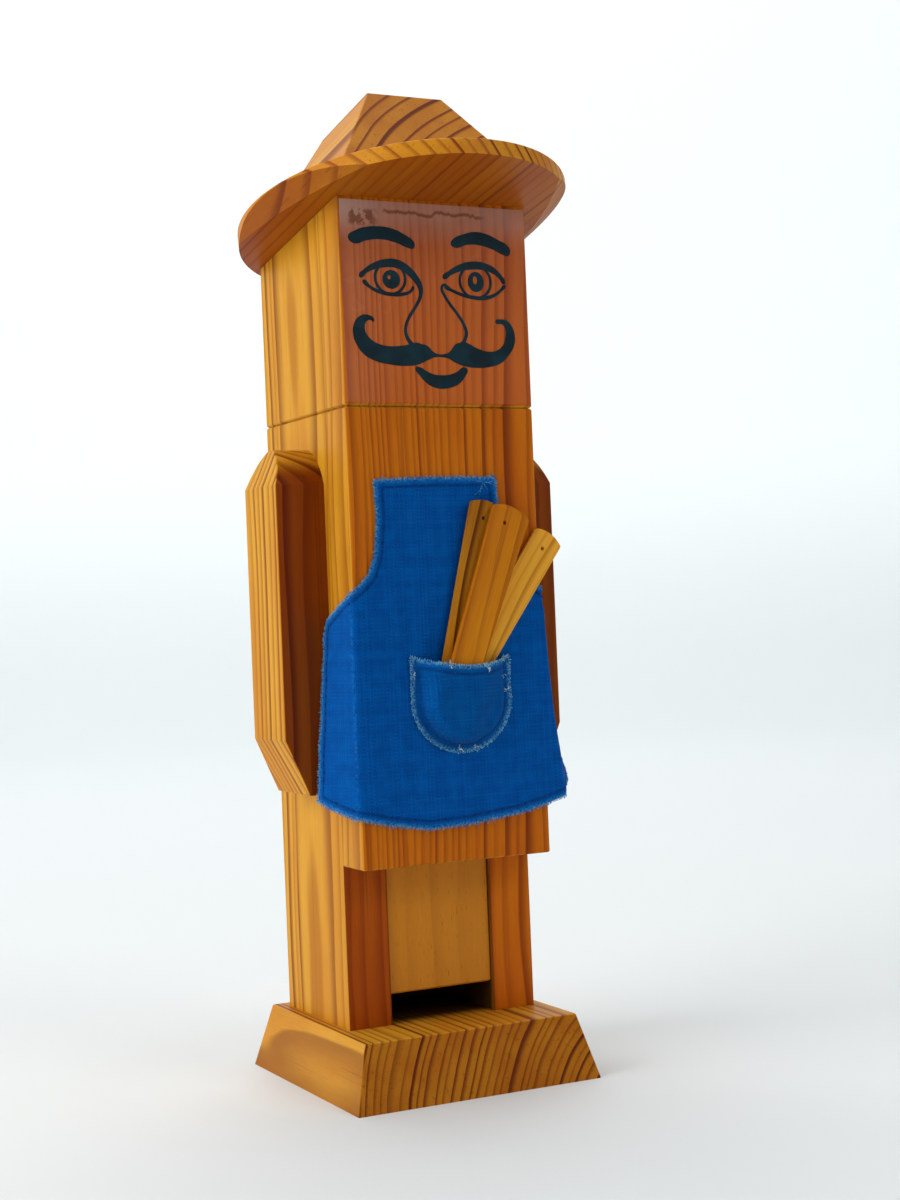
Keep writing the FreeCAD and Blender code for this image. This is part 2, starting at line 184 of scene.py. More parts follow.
class Finish:
    """One material, with the nodes that make its pattern."""

    def __init__(self, name, **shader_values):
        self.material = bpy.data.materials.new(name)
        self.material.use_nodes = True
        self.tree = self.material.node_tree
        self.shader = self.tree.nodes["Principled BSDF"]
        for socket, value in shader_values.items():
            self.shader.inputs[socket.replace("_", " ")].default_value = value

    def feed(self, socket, value):
        if isinstance(value, Number):
            value = value.socket
        if isinstance(value, bpy.types.NodeSocket):
            self.tree.links.new(value, socket)
        else:
            socket.default_value = value

    def node(self, kind, settings=None, sockets=None):
        made = self.tree.nodes.new("ShaderNode" + kind)
        for name, value in (settings or {}).items():
            setattr(made, name, value)
        for name, value in (sockets or {}).items():
            self.feed(made.inputs[name], value)
        return made

    def object_place(self, centre=(0, 0, 0), turn=(0, 0, 0)):
        """Object coordinates in millimetres, measured from centre along axes turned by turn."""
        source = self.node("TexCoord").outputs["Object"]
        made = self.node(
            "Mapping",
            {"vector_type": "TEXTURE"},
            {
                "Vector": source,
                "Location": Vector(centre) * MM,
                "Rotation": turn,
                "Scale": (MM, MM, MM),
            },
        )
        return made.outputs[0]

    def stretched(self, vector, amounts):
        made = self.node("VectorMath", {"operation": "MULTIPLY"}, {0: vector, 1: amounts})
        return made.outputs[0]

    def split(self, vector):
        made = self.node("SeparateXYZ", None, {0: vector})
        return [Number(self, socket) for socket in made.outputs]

    def facing(self, side):
        """How squarely the surface faces one way, from 0 to 1, by the piece's own axes."""
        normal = self.node("TexCoord").outputs["Normal"]
        made = self.node("VectorMath", {"operation": "DOT_PRODUCT"}, {0: normal, 1: side})
        return Number(self, made.outputs["Value"])

    def noise(self, vector, scale=1.0, detail=2.0, roughness=0.5):
        made = self.node(
            "TexNoise",
            {"noise_dimensions": "3D"},
            {"Vector": vector, "Scale": scale, "Detail": detail, "Roughness": roughness},
        )
        return Number(self, made.outputs[0])

    def noise_along(self, number, scale=1.0, detail=1.0):
        made = self.node(
            "TexNoise",
            {"noise_dimensions": "1D"},
            {"W": number, "Scale": scale, "Detail": detail},
        )
        return Number(self, made.outputs[0])

    def chance(self, number):
        """A number from 0 to 1 of its own for each whole number."""
        made = self.node("TexWhiteNoise", {"noise_dimensions": "1D"}, {"W": number})
        return Number(self, made.outputs[0])

    def mix(self, amount, first, second, how="MIX"):
        """Colour first turning into second as amount goes from 0 to 1."""
        made = self.node(
            "Mix",
            {"data_type": "RGBA", "blend_type": how},
            {0: amount, 6: first, 7: second},
        )
        return made.outputs[2]

    def colour(self, value):
        self.feed(self.shader.inputs["Base Color"], value)

    def roughness(self, value):
        self.feed(self.shader.inputs["Roughness"], value)

    def bump(self, height, distance, strength=1.0):
        made = self.node(
            "Bump",
            None,
            {"Height": height, "Distance": distance * MM, "Strength": strength},
        )
        self.feed(self.shader.inputs["Normal"], made.outputs[0])


def tone(code):
    """The linear colour of a six-figure colour code."""
    parts = [int(code[i:i + 2], 16) / 255 for i in (0, 2, 4)]
    linear = [p / 12.92 if p <= 0.04045 else ((p + 0.055) / 1.055) ** 2.4 for p in parts]
    return (*linear, 1.0)


def paint(node, finish):
    """Gives a node of the frame its finish."""
    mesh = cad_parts[node].data
    mesh.materials.clear()
    mesh.materials.append(finish.material)


# ---------------------------------------------------------------- wood

ALONG_Z = (0, 0, 0)
ALONG_Y = (math.radians(90), 0, 0)
ALONG_X = (0, math.radians(90), 0)

PINE = {
    "early": tone("d69a26"),
    "late": tone("a05a0c"),
    "warm": tone("cb8416"),
    "deep": tone("7c3c07"),
}
PINE_DARK = {
    "early": tone("d49528"),
    "late": tone("86410a"),
    "warm": tone("c27a18"),
    "deep": tone("5c2304"),
}
PINE_BRIM = {
    "early": tone("d48c20"),
    "late": tone("8a3a0c"),
    "warm": tone("c47414"),
    "deep": tone("5c1f08"),
}
# Slat palettes: the first is painted lighter for the right slat, as light falling on it, and the
# last darker and streaked for the left slat, as the front slat's shadow.
SLAT_LIT = {
    "early": tone("f2ac38"),
    "late": tone("bd7014"),
    "warm": tone("e89c28"),
    "deep": tone("94500a"),
}
SLAT_GOLD = {
    "early": tone("d0800f"),
    "late": tone("984c0a"),
    "warm": tone("c26e0c"),
    "deep": tone("6c3104"),
}
SLAT_SHADED_STREAKED = {
    "early": tone("c8841a"),
    "late": tone("6e3608"),
    "warm": tone("a3600f"),
    "deep": tone("4c2204"),
}
# The grain of the front board, which also shows through the printed film
FRONT_PITH = (66, 16, 0)
FRONT_RING = 2.5
FRONT_SWAY = 0.7
FRONT_CROWD = 1.5

FACING_FRONT = (0, -1, 0)
FACING_DOWN = (0, 0, -1)
FACING_LEFT = (-1, 0, 0)


def edge_distance(finish, corners):
    """Distance from a point of a board's surface to the board's nearest edge, in millimetres."""
    low, high = corners
    place = finish.split(finish.object_place())
    a, b, c = [
        (axis - low[i] / MM).least(high[i] / MM - axis).most(0.0)
        for i, axis in enumerate(place)
    ]
    return a.least(b).most(a.most(b).least(c))


def growth(finish, place, ring, sway, reach=80.0, crowd=1.0, onset=0.3, tail=0.93,
           uneven=1.7):
    """Late wood from 0 to 1 and each ring's own strength, round the line x = y = 0 of place."""
    x, y, _ = finish.split(place)
    along = finish.stretched(place, (0.02, 0.02, 0.006))
    drift = finish.noise(along, 1.0, 1.0)
    ripple = finish.noise(finish.stretched(place, (0.07, 0.07, 0.014)), 1.0, 1.0)
    radius = (x * x + y * y).root() + (drift - 0.5) * (sway * 12) + (ripple - 0.5) * (sway * 2)
    years = finish.noise_along(radius, 0.31 / ring)
    count = (radius / reach) ** crowd * (reach / crowd / ring) + (years - 0.5) * uneven
    part = count.part()
    late = part.rise(onset, 0.9) * (1 - part.rise(tail, 1.0))
    own = finish.chance(count.floor())
    return late, own, along, ripple


def channel_shade_mask(finish, fade):
    """Painted shade for the plunger's channel: 1 on its walls, 0 outside it, with a fade behind
    its front.
    """
    low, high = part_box("plunger")
    half = high.x / MM + 0.6
    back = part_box("back_board")[0].y / MM + 0.2
    x, y, _ = finish.split(finish.object_place())
    within = (half - x.size()).rise(0.0, 0.25) * (y - low.y / MM).rise(*fade)
    return within * (back - y).rise(0.0, 0.15)


def timber(name, palette, pith, turn=ALONG_Z, ring=2.4, sway=1.0, reach=80.0, crowd=1.0,
           onset=0.3, tail=0.93, uneven=1.7, contrast=1.0, calm=None, streaks=0.3, painted_shade=None,
           shaded_side=FACING_FRONT, corners=None, channel=None):
    """Varnished softwood whose growth rings run round a pith line of its own.

    calm is a side and how much weaker its rings are. Painted shade: the shaded side is made
    darker and redder, by the factors of painted_shade. corners is the board's box, for worn
    edges. channel is how far the painted shade inside the plunger's channel fades in, behind
    the channel's front."""
    finish = Finish(name, Specular_IOR_Level=0.1)
    place = finish.object_place(pith, turn)
    late, own, along, ripple = growth(
        finish, place, ring, sway, reach, crowd, onset, tail, uneven)
    if calm:
        calm_side, amount = calm
        late = late * (1 - finish.facing(calm_side).rise(0.6, 0.9) * amount)
    fibre = finish.noise(finish.stretched(place, (1.0, 1.0, 0.045)), 2.6, 3.0, 0.6)
    broad = finish.noise(finish.stretched(along, (3.0, 3.0, 2.0)), 1.0, 2.0)
    streak = finish.noise(finish.stretched(place, (1.0, 1.0, 0.012)), 0.85, 1.0).rise(0.64, 0.74)
    wood = finish.mix(broad.rise(0.35, 0.65) * 0.8, palette["early"], palette["warm"])
    wood = finish.mix(late * (own * 0.6 + 0.35) * contrast, wood, palette["late"])
    wood = finish.mix(late * own.rise(0.6, 0.95) * (contrast * 0.55), wood, palette["deep"])
    wood = finish.mix((1 - fibre.rise(0.25, 0.6)) * 0.2, wood, palette["late"])
    wood = finish.mix(streak * streaks, wood, palette["deep"])
    # Painted shade: one side of the board is made darker and redder.
    if painted_shade:
        facing = finish.facing(shaded_side).rise(0.6, 0.9)
        wood = finish.mix(facing, wood, (*painted_shade, 1.0), "MULTIPLY")
    if corners:
        worn = 1 - (edge_distance(finish, corners) + (ripple - 0.3) * 1.4).rise(0.1, 0.9)
        wood = finish.mix(worn * 0.3, wood, palette["deep"])
    if channel:
        # Painted shade: the channel's walls turn near black.
        wood = finish.mix(channel_shade_mask(finish, channel) * 0.93, wood, tone("1c0d05"))
    finish.colour(wood)
    finish.roughness(fibre * 0.16 + late * 0.06 + 0.38)
    finish.bump(fibre * 0.5 + late * 0.5, 0.05, 0.5)
    return finish


def beech(name, turn=ALONG_Z, early="d0831c", late="b46812"):
    """Pale close wood with short dark flecks along the grain."""
    finish = Finish(name, Specular_IOR_Level=0.16)
    place = finish.object_place((40, 60, 0), turn)
    late_wood, own, _, _ = growth(finish, place, ring=5.5, sway=1.5)
    fleck = finish.noise(finish.stretched(place, (2.4, 2.4, 0.32)), 1.0, 1.0).rise(0.69, 0.75)
    fibre = finish.noise(finish.stretched(place, (1.0, 1.0, 0.05)), 3.4, 2.0)
    wood = finish.mix(late_wood * (own * 0.3 + 0.15), tone(early), tone(late))
    wood = finish.mix((1 - fibre.rise(0.3, 0.65)) * 0.2, wood, tone(late))
    wood = finish.mix(fleck * 0.6, wood, tone("8a4208"))
    finish.colour(wood)
    finish.roughness(fibre * 0.15 + 0.38)
    finish.bump(fibre * 0.5 - fleck, 0.04, 0.5)
    return finish


def paint_column():
    """The boards of the column and of the head, cut one above the other from the same timber."""
    # The front faces are painted darker as shade, and the channel's walls near black as shade.
    walls = (-2.5, 3.0)
    soft = {"onset": 0.28, "tail": 0.86, "channel": walls}
    boards = (
        ("front_board", PINE_DARK, FRONT_PITH, FRONT_RING, FRONT_SWAY, FRONT_CROWD,
         {"contrast": 0.8, "painted_shade": (0.93, 0.53, 0.12)}),
        ("back_board", PINE, (-40, -60, 0), 4.6, 1.2, 1.0, {"contrast": 1.2, "channel": walls}),
        ("cheek_left", PINE, (-62, 6, 0), 4.4, 1.0, 1.0,
         {**soft, "contrast": 0.82, "painted_shade": (0.64, 0.27, 0.05)}),
        ("cheek_right", PINE, (88, 20, 0), 4.2, 1.0, 1.0,
         {**soft, "contrast": 0.8, "painted_shade": (0.95, 0.5, 0.08)}),
    )
    for board, palette, pith, ring, sway, crowd, manner in boards:
        for node in (board, "head_" + board):
            paint(node, timber(
                "pine_" + node, palette, pith, ring=ring, sway=sway, crowd=crowd,
                corners=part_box(node), **manner,
            ))


def paint_base_and_arms():
    # The front faces are painted darker as shade, the arms' most, and the base's channel near
    # black as shade.
    paint("base", timber("pine_base", PINE_DARK, (80.7, 0, -30), ALONG_Y, ring=3.0, sway=0.5,
                         onset=0.45, contrast=1.35, calm=(FACING_LEFT, 0.62),
                         painted_shade=(0.72, 0.54, 0.23), channel=(-1.5, 9.0)))
    for node, pith in (("arm_left", (-20, 38, 0)), ("arm_right", (20, -46, 0))):
        paint(node, timber("pine_" + node, PINE, pith, ring=3.4, sway=0.8, reach=40.0,
                           contrast=1.1, painted_shade=(0.38, 0.16, 0.07), corners=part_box(node)))


def paint_hat():
    """Brim and crown lie on a slope, with their grain running up it from back to front."""
    slope = (math.radians(90 - HAT_SLOPE), 0, 0)
    # The brim's underside and the crown's front are painted darker as shade.
    paint("hat_brim", timber("pine_brim", PINE_BRIM, (-339, 0, 88), slope,
                             ring=3.8, sway=0.3, onset=0.56, uneven=0.7, contrast=1.25,
                             calm=(FACING_DOWN, 0.5), painted_shade=(0.6, 0.4, 0.16),
                             shaded_side=FACING_DOWN))
    paint("hat_crown", timber("pine_crown", PINE_DARK, (77, 0, 230), slope,
                              ring=5.0, sway=0.25, onset=0.66, tail=0.96, uneven=0.9, contrast=1.9,
                              painted_shade=(0.76, 0.55, 0.18)))


def paint_small_wood():
    paint("plunger", beech("beech_plunger"))
    for node in ("arm_dowels", "stop_peg", "hat_dowels", "head_pin"):
        paint(node, beech("beech_" + node, ALONG_X, "cf9c5a", "a5702f"))


def paint_slats():
    """Each slat's grain runs along it, so its pattern leans as it does round the rivet."""
    for order, (name, lean) in enumerate(SLAT_LEANS.items()):
        # The right slat's palette is painted lighter as light, the left one's darker as shade.
        palette = {"left": SLAT_SHADED_STREAKED, "right": SLAT_LIT}.get(name, SLAT_GOLD)
        turn = (0, math.radians(lean), 0)
        shift = Matrix.Rotation(turn[1], 3, "Y") @ Vector((14 + 5 * order, 22 - 9 * order, 0))
        paint("rule_slat_" + name, timber(
            "slat_" + name, palette, RIVET + shift, turn, ring=3.6, sway=1.4, reach=30.0,
            onset=0.45, tail=0.9, contrast=1.0 if name == "left" else 0.55,
        ))


def paint_metal():
    steel = Finish("screw_steel", Metallic=1.0, Specular_IOR_Level=0.5)
    place = steel.object_place()
    x, y, _ = steel.split(place)
    turning = (x * x + y * y).root().part()
    dull = steel.noise(place, 0.9, 3.0)
    steel.colour(steel.mix(dull.rise(0.4, 0.7), tone("c9c6be"), tone("8d8980")))
    steel.roughness(dull * 0.3 + turning * 0.05 + 0.2)
    paint("base_screws", steel)

    brass = Finish("rivet_brass", Metallic=1.0)
    dull = brass.noise(brass.object_place(), 1.4, 3.0)
    brass.colour(brass.mix(dull.rise(0.35, 0.7), tone("cda553"), tone("8a6427")))
    brass.roughness(dull * 0.3 + 0.22)
    paint("rule_rivet", brass)


def film_haze(across, near_top, cloud):
    """Whitish haze under the film, strongest along its top and in its top left corner."""
    near_left = 1 - (across + 36).rise(0.0, 22.0)
    milk = near_top * 0.4 + near_left * near_top * 0.3 + near_left * 0.08
    return milk * (cloud.rise(0.2, 0.6) * 0.3 + 0.7)


def film_stains(finish, across, up, smear):
    """A thin wandering brown line below the film's top, and a blot at its left end."""
    wander = finish.noise_along(across, 0.13) * 4.0 + finish.noise_along(across, 0.5) * 1.6
    trail = 1 - (up - wander - 63.6).size().rise(0.2, 0.9)
    trail = trail * (across + 20).rise(0.0, 2.0) * (1 - across.rise(17.0, 21.0))
    corner = (across + 33).rise(0.0, 2.0) * (1 - (across + 24).rise(0.0, 4.0))
    blot = corner * up.rise(60.5, 62.5) * (1 - up.rise(66.0, 67.5)) * smear.rise(0.46, 0.54)
    return trail.most(blot)


def paint_film():
    """Clear printed film on the head, with the board's grain showing through its red tint."""
    finish = Finish("face_film", Coat_Weight=0.3, Coat_Roughness=0.1, Specular_IOR_Level=0.22)
    place = finish.object_place(FRONT_PITH)
    late, own, _, _ = growth(finish, place, FRONT_RING, FRONT_SWAY, crowd=FRONT_CROWD)
    across, _, up = finish.split(finish.object_place((0, 0, FACE_FOOT)))
    fibre = finish.noise(finish.stretched(place, (1.0, 1.0, 0.045)), 2.6, 3.0, 0.6)
    tint = finish.mix(up.rise(10.0, 62.0), tone("c6621a"), tone("b65a24"))
    wood = finish.mix(late * (own * 0.6 + 0.3), tint, tone("8e360d"))
    wood = finish.mix((1 - fibre.rise(0.25, 0.6)) * 0.2, wood, tone("8c3c0f"))
    cloud = finish.noise(finish.object_place(), 0.07, 2.0)
    smear = finish.noise(finish.object_place(), 0.42, 3.0)
    near_top = up.rise(54.0, 69.0)
    wood = finish.mix(film_haze(across, near_top, cloud), wood, tone("c6a79a"))
    stains = film_stains(finish, across, up, smear)
    finish.colour(finish.mix(stains * 0.75, wood, tone("70380f")))
    finish.roughness(cloud.rise(0.45, 0.7) * 0.1 + 0.18)
    finish.bump(smear * near_top + cloud * 0.4, 0.08, 0.4)
    paint("face_film", finish)


# ---------------------------------------------------------------- printed face

# Outlines, as (across, up) in millimetres from the middle of the print's foot
BROWS = (
    [(-32.5, 57), (-29.5, 59.5), (-25.5, 60.8), (-21, 61.2), (-16.5, 60.8), (-12, 59.2),
     (-7.6, 55.8), (-8.2, 54.2), (-10, 54.3), (-15, 56), (-20.5, 56.8), (-25.5, 56.2),
     (-30.5, 55)],
    [(6.2, 56.8), (7.2, 58.2), (11.5, 60.2), (16, 61.2), (20.5, 60.6), (24.5, 59),
     (28.8, 56.8), (29.6, 55.2), (28.6, 53.4), (26.3, 53.8), (22.5, 55.4), (18, 56.5),
     (13, 56.6), (7.5, 55.4)],
)
# Strokes round the eyes and down the nose, as (across, up, width)
EYE_STROKES = (
    [(-28.7, 43.8, 1.0), (-26.5, 45.8, 1.6), (-23.2, 47.6, 2.2), (-19.2, 48.7, 2.8),
     (-15.2, 48.8, 3.0), (-11.6, 47.4, 2.9), (-8.4, 44.6, 2.6), (-6.2, 41.2, 2.0),
     (-6.2, 38.2, 1.4), (-8, 34.6, 1.1), (-10.6, 31, 1.1), (-12.2, 27.4, 1.1),
     (-12.1, 24.2, 1.3), (-10.2, 21.4, 1.5), (-8, 20, 1.2)],
    [(-27.6, 42.6, 0.7), (-25, 40.4, 1.1), (-21.5, 38.9, 1.3), (-17, 38.2, 1.3),
     (-13, 38.4, 1.2), (-10, 39.4, 1.0), (-8.6, 41.2, 0.6)],
    [(2.8, 44.6, 1.0), (5.6, 46.5, 1.7), (9.6, 48.4, 2.4), (14.4, 49.4, 2.8),
     (19, 49.2, 2.6), (22.8, 47.8, 2.1), (25.2, 45.8, 1.6), (26.7, 43.6, 0.9)],
    [(3.2, 41.8, 0.8), (6, 40.4, 1.1), (10, 39, 1.2), (14, 38.3, 1.4), (18.5, 38.2, 1.4),
     (22.4, 39.3, 1.2), (25, 41, 1.0), (27, 43, 0.6)],
    [(4.2, 41.6, 0.6), (3.1, 42.3, 0.9), (2.1, 41.2, 1.1), (3, 38.6, 1.1), (5, 35.6, 1.1),
     (8, 31.9, 1.1), (10.2, 28.4, 1.2), (10.9, 25.8, 1.3), (10.2, 23.4, 1.3), (8.6, 21, 1.2)],
)
# Ovals, as (across, up, half width, half height)
IRISES = ((-17.4, 43.7, 6.1, 5.9), (15.2, 43.8, 6.5, 6.2))
PUPILS = ((-17, 43.3, 3.3, 3.2), (15.4, 43.7, 3.1, 3.5))
GLINTS = ((-17.8, 44, 0.6, 0.7), (15.1, 44.3, 0.8, 1.4))
MOUSTACHE = [
    (-24, 29.4), (-26, 30.9), (-29.4, 30.4), (-31.6, 27.6), (-32, 24), (-30.9, 20.8),
    (-28.4, 17.6), (-24.6, 15.5), (-19.5, 14.4), (-13, 13.9), (-8, 14.5), (-4, 16.2),
    (-1.2, 17.2), (1.2, 17.2), (3.6, 16.8), (6.2, 15.4), (10, 14.2), (15, 13.8),
    (20, 14.3), (23.8, 15.5), (27.2, 18.4), (29.6, 22), (30, 25.4), (29, 28.6),
    (27, 30.6), (24.4, 31), (22.6, 30.6), (22.8, 29.5), (25.2, 29.2), (26.4, 27.2),
    (26.2, 24.6), (25, 21.8), (22.4, 20), (19, 19.6), (15, 20.6), (12, 22), (10.2, 22.6),
    (8.4, 22.4), (6.6, 21.9), (5.4, 20.6), (4.2, 19.2), (2.4, 18.4), (0.8, 18.2),
    (-0.6, 18.3), (-2.4, 19.2), (-3.6, 20.5), (-4.8, 21.2), (-6.6, 21.6), (-8.2, 22),
    (-11, 21.4), (-14, 20.8), (-18, 20.5), (-21.6, 20.9), (-24.8, 22.2), (-27, 24.4),
    (-27.6, 26.6), (-27, 28.6), (-25.4, 29.2), (-24.4, 28.6),
]
MOUTH = [
    (-9.2, 13.4), (-7.6, 13.6), (-5, 12.3), (-2.5, 11.3), (1, 11), (4, 11.3), (6.8, 12.4),
    (9.2, 13.9), (10.8, 13.2), (9.8, 10.8), (7.5, 8.3), (4.5, 6.9), (1, 6.3), (-2.5, 6.8),
    (-5.2, 8.2), (-7.6, 10.6),
]


def smooth_outline(spline, points):
    """Draws a closed smooth line through points (across, up)."""
    spline.bezier_points.add(len(points) - 1)
    for knot, (x, z) in zip(spline.bezier_points, points):
        knot.co = (x * MM, z * MM, 0)
        knot.handle_left_type = "AUTO"
        knot.handle_right_type = "AUTO"
    spline.use_cyclic_u = True


def ink_mesh(bm, outlines, layer):
    """Adds one printed shape; outlines after the first are holes in it."""
    curve = bpy.data.curves.new("ink", "CURVE")
    curve.dimensions = "2D"
    curve.fill_mode = "BOTH"
    curve.extrude = INK_THICK / 2 * MM
    curve.resolution_u = 8
    for outline in outlines:
        smooth_outline(curve.splines.new("BEZIER"), outline)
    holder = bpy.data.objects.new("ink", curve)
    mesh = bpy.data.meshes.new_from_object(holder)
    front = FACE_FRONT - INK_GAP - INK_THICK / 2 - INK_STEP * layer
    place = Matrix.Translation((0, front * MM, FACE_FOOT * MM))
    mesh.transform(place @ Matrix.Rotation(math.radians(90), 4, "X"))
    bm.from_mesh(mesh)
    bpy.data.objects.remove(holder)
    bpy.data.curves.remove(curve)
    bpy.data.meshes.remove(mesh)


def brush(strokes):
    """The outline of a brush stroke through points (x, z, width)."""
    left = []
    right = []
    for i, (x, z, width) in enumerate(strokes):
        before = strokes[max(i - 1, 0)]
        after = strokes[min(i + 1, len(strokes) - 1)]
        way = Vector((after[0] - before[0], after[1] - before[1])).normalized() * width / 2
        left.append((x - way.y, z + way.x))
        right.append((x + way.y, z - way.x))
    return left + right[::-1]


def ring_of(x, z, wide, tall, count=10):
    turns = [2 * math.pi * i / count for i in range(count)]
    return [(x + wide * math.cos(t), z + tall * math.sin(t)) for t in turns]


def print_face():
    shapes = [[brow] for brow in BROWS]
    shapes += [[brush(stroke)] for stroke in EYE_STROKES]
    shapes += [[ring_of(x, z, wide, tall), ring_of(x, z, wide - 1, tall - 1)]
               for x, z, wide, tall in IRISES]
    shapes += [[ring_of(*pupil), ring_of(*glint)] for pupil, glint in zip(PUPILS, GLINTS)]
    shapes += [[MOUSTACHE], [MOUTH]]
    bm = bmesh.new()
    for layer, outlines in enumerate(shapes):
        ink_mesh(bm, outlines, layer)
    bmesh.ops.remove_doubles(bm, verts=bm.verts, dist=0.001 * MM)
    bmesh.ops.recalc_face_normals(bm, faces=bm.faces)
    face = piece_from(bm, "printed_face")
    ink = Finish("face_ink", Roughness=0.4, Specular_IOR_Level=0.12)
    mottle = ink.noise(ink.object_place(), 0.12, 2.0)
    ink.colour(ink.mix(mottle.rise(0.3, 0.7), tone("0c2129"), tone("12303a")))
    dress(face, ink)
    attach(face, "head")


# ---------------------------------------------------------------- cloth

def piece_from(bm, name):
    mesh = bpy.data.meshes.new(name)
    bm.to_mesh(mesh)
    bm.free()
    made = bpy.data.objects.new(name, mesh)
    SCENE.collection.objects.link(made)
    return made


def dress(piece, finish):
    piece.data.materials.clear()
    piece.data.materials.append(finish.material)


def ease(value, low, high):
    """0 up to low, 1 from high on, and an even curve between."""
    share = min(max((value - low) / (high - low), 0), 1)
    return share * share * (3 - 2 * share)


def follow(table, height):
    """The value at height in a table of (height, value) pairs, eased between them."""
    for (low, first), (high, second) in zip(table, table[1:]):
        if height <= high:
            share = min(max((height - low) / (high - low), 0), 1)
            return first + (second - first) * share
    return table[-1][1]


# The apron's side edges, and its folds round the column, as (height, place across)
APRON_LEFT = (
    (92, -55.6), (158, -55.4), (162, -54.4), (166, -47.6), (171, -37.8), (174, -33.8),
    (178, -29.9), (185, -27.4), (197, -26.2), (210, -26.7),
)
APRON_RIGHT = (
    (92, 59.4), (130, 57.4), (160, 55.8), (164, 53.4), (167, 47.0), (171, 37.0),
    (175, 30.0), (180, 24.8), (187, 21.8), (197, 20.3), (210, 19.6),
)
# How far the hem lies above the apron's foot, as (place across, rise)
APRON_HEM = (
    (-56, 9.6), (-50, 7.2), (-37, 3.8), (-24, 0.8), (-11, -1.3), (5, -0.7), (25, 1.6),
    (37, 4.4), (50, 8.0), (60, 10.8),
)
FOLD_LEFT = ((92, 37.4), (130, 37.0), (172, 36.6))
FOLD_RIGHT = (
    (92, 42.8), (103, 42.7), (110, 42.2), (128, 39.8), (150, 38.2), (170, 37.1), (178, 36.6),
)
# How far each flap turns out from the column's side, as (height, degrees)
FLARE_LEFT = ((92, 21), (108, 18.5), (138, 11), (162, 4), (176, 1))
FLARE_RIGHT = ((92, 34), (105, 31), (120, 21), (140, 11), (165, 4))


def apron_flat(u, v):
    """The apron's cut outline: u goes from its left edge to its right, v from hem to bib."""
    height = APRON_BOTTOM + (APRON_TOP - APRON_BOTTOM) * v
    left = follow(APRON_LEFT, height)
    right = follow(APRON_RIGHT, height)
    across = left + (right - left) * u
    sag = follow(APRON_HEM, across) * (1 - v) ** 3
    crown = 0.4 * math.sin(math.pi * u) + 0.7 * u - 0.4
    return across, height + sag + crown * v ** 4


def apron_place(across, height, lift=0.0):
    """Where a point of the flat apron lies on the column: front, round the corner, and flap."""
    side = math.copysign(1.0, across)
    reach = abs(across)
    fold = follow(FOLD_LEFT if side < 0 else FOLD_RIGHT, height)
    flare = math.radians(follow(FLARE_LEFT if side < 0 else FLARE_RIGHT, height))
    turn = math.radians(90) - flare
    corner = fold - APRON_BEND
    arc = APRON_BEND * turn
    wave = noise.noise(Vector((across * 0.045, 3.1, height * 0.03)))
    pucker = noise.noise(Vector((across * 0.21, 9.7, height * 0.16)))
    low = ease(112 - height, 0, 20)
    out = lift + 0.12 + 0.12 * pucker + low * (0.5 + 0.7 * wave)
    if reach <= corner:
        return Vector((across, APRON_MIDDLE - out, height)) * MM
    angle = min((reach - corner) / APRON_BEND, turn)
    beyond = max(reach - corner - arc, 0)
    centre = Vector((corner, APRON_MIDDLE + APRON_BEND))
    way = Vector((math.sin(angle), -math.cos(angle)))
    along = Vector((math.cos(angle), math.sin(angle)))
    loose = min(beyond / FLAP_FREE, 1)
    out += loose * (0.7 * wave + 0.25 * pucker + 0.3)
    spot = centre + way * (APRON_BEND + out) + along * beyond
    return Vector((side * spot.x, spot.y, height)) * MM


def grid_piece(name, cells, flat_at, place_at):
    """A cloth grid: its UV map holds the flat cloth, its points lie where the cloth is worn."""
    bm = bmesh.new()
    bmesh.ops.create_grid(bm, x_segments=cells[0], y_segments=cells[1], size=0.5)
    uv = bm.loops.layers.uv.new("flat_cloth")
    edge = bm.verts.layers.float.new("from_edge")
    flat = {vert: flat_at(vert.co.x + 0.5, vert.co.y + 0.5) for vert in bm.verts}
    for face in bm.faces:
        for loop in face.loops:
            a, z = flat[loop.vert]
            loop[uv].uv = (0.5 + a / UV_SIZE, (z - UV_FOOT) / UV_SIZE)
    rim = KDTree(sum(1 for v in bm.verts if v.is_boundary))
    for vert in bm.verts:
        if vert.is_boundary:
            rim.insert((*flat[vert], 0), vert.index)
    rim.balance()
    for vert in bm.verts:
        vert[edge] = rim.find((*flat[vert], 0))[2]
    for vert in bm.verts:
        vert.co = place_at(*flat[vert])
    bmesh.ops.recalc_face_normals(bm, faces=bm.faces)
    return piece_from(bm, name)


def thicken(piece):
    """Cloth thickness and a rounder surface, as live modifiers with matching levels."""
    wall = piece.modifiers.new("thickness", "SOLIDIFY")
    wall.thickness = CLOTH_THICK * MM
    wall.offset = 0
    rounding = piece.modifiers.new("rounding", "SUBSURF")
    rounding.levels = 1
    rounding.render_levels = 1


def outline(flat_at):
    """Flat points round a cloth: along its hem, up its right side, its top, down its left."""
    steps = OUTLINE_STEPS
    rim = [flat_at(i / steps, 0) for i in range(steps)]
    rim += [flat_at(1, i / steps) for i in range(steps)]
    rim += [flat_at(1 - i / steps, 1) for i in range(steps)]
    rim += [flat_at(0, 1 - i / steps) for i in range(steps + 1)]
    return [Vector(point) for point in rim]


def walk(line, step):
    """Points every step along a line of points, each with its direction."""
    spots = []
    left_over = 0.0
    for start, end in zip(line, line[1:]):
        length = (end - start).length
        if length < 1e-6:
            continue
        way = (end - start) / length
        position = left_over
        while position < length:
            spots.append((start + way * position, way))
            position += step
        left_over = position - length
    return spots


def inset(line, distance):
    """The line moved into the cloth, without the loops that a tight corner makes."""
    tree = KDTree(len(line))
    for i, point in enumerate(line):
        tree.insert((*point, 0), i)
    tree.balance()
    moved = []
    for before, point, after in zip(line, line[1:], line[2:]):
        way = (after - before).normalized()
        spot = point + Vector((-way.y, way.x)) * distance
        if tree.find((*spot, 0))[2] > distance * 0.93:
            moved.append(spot)
    return moved


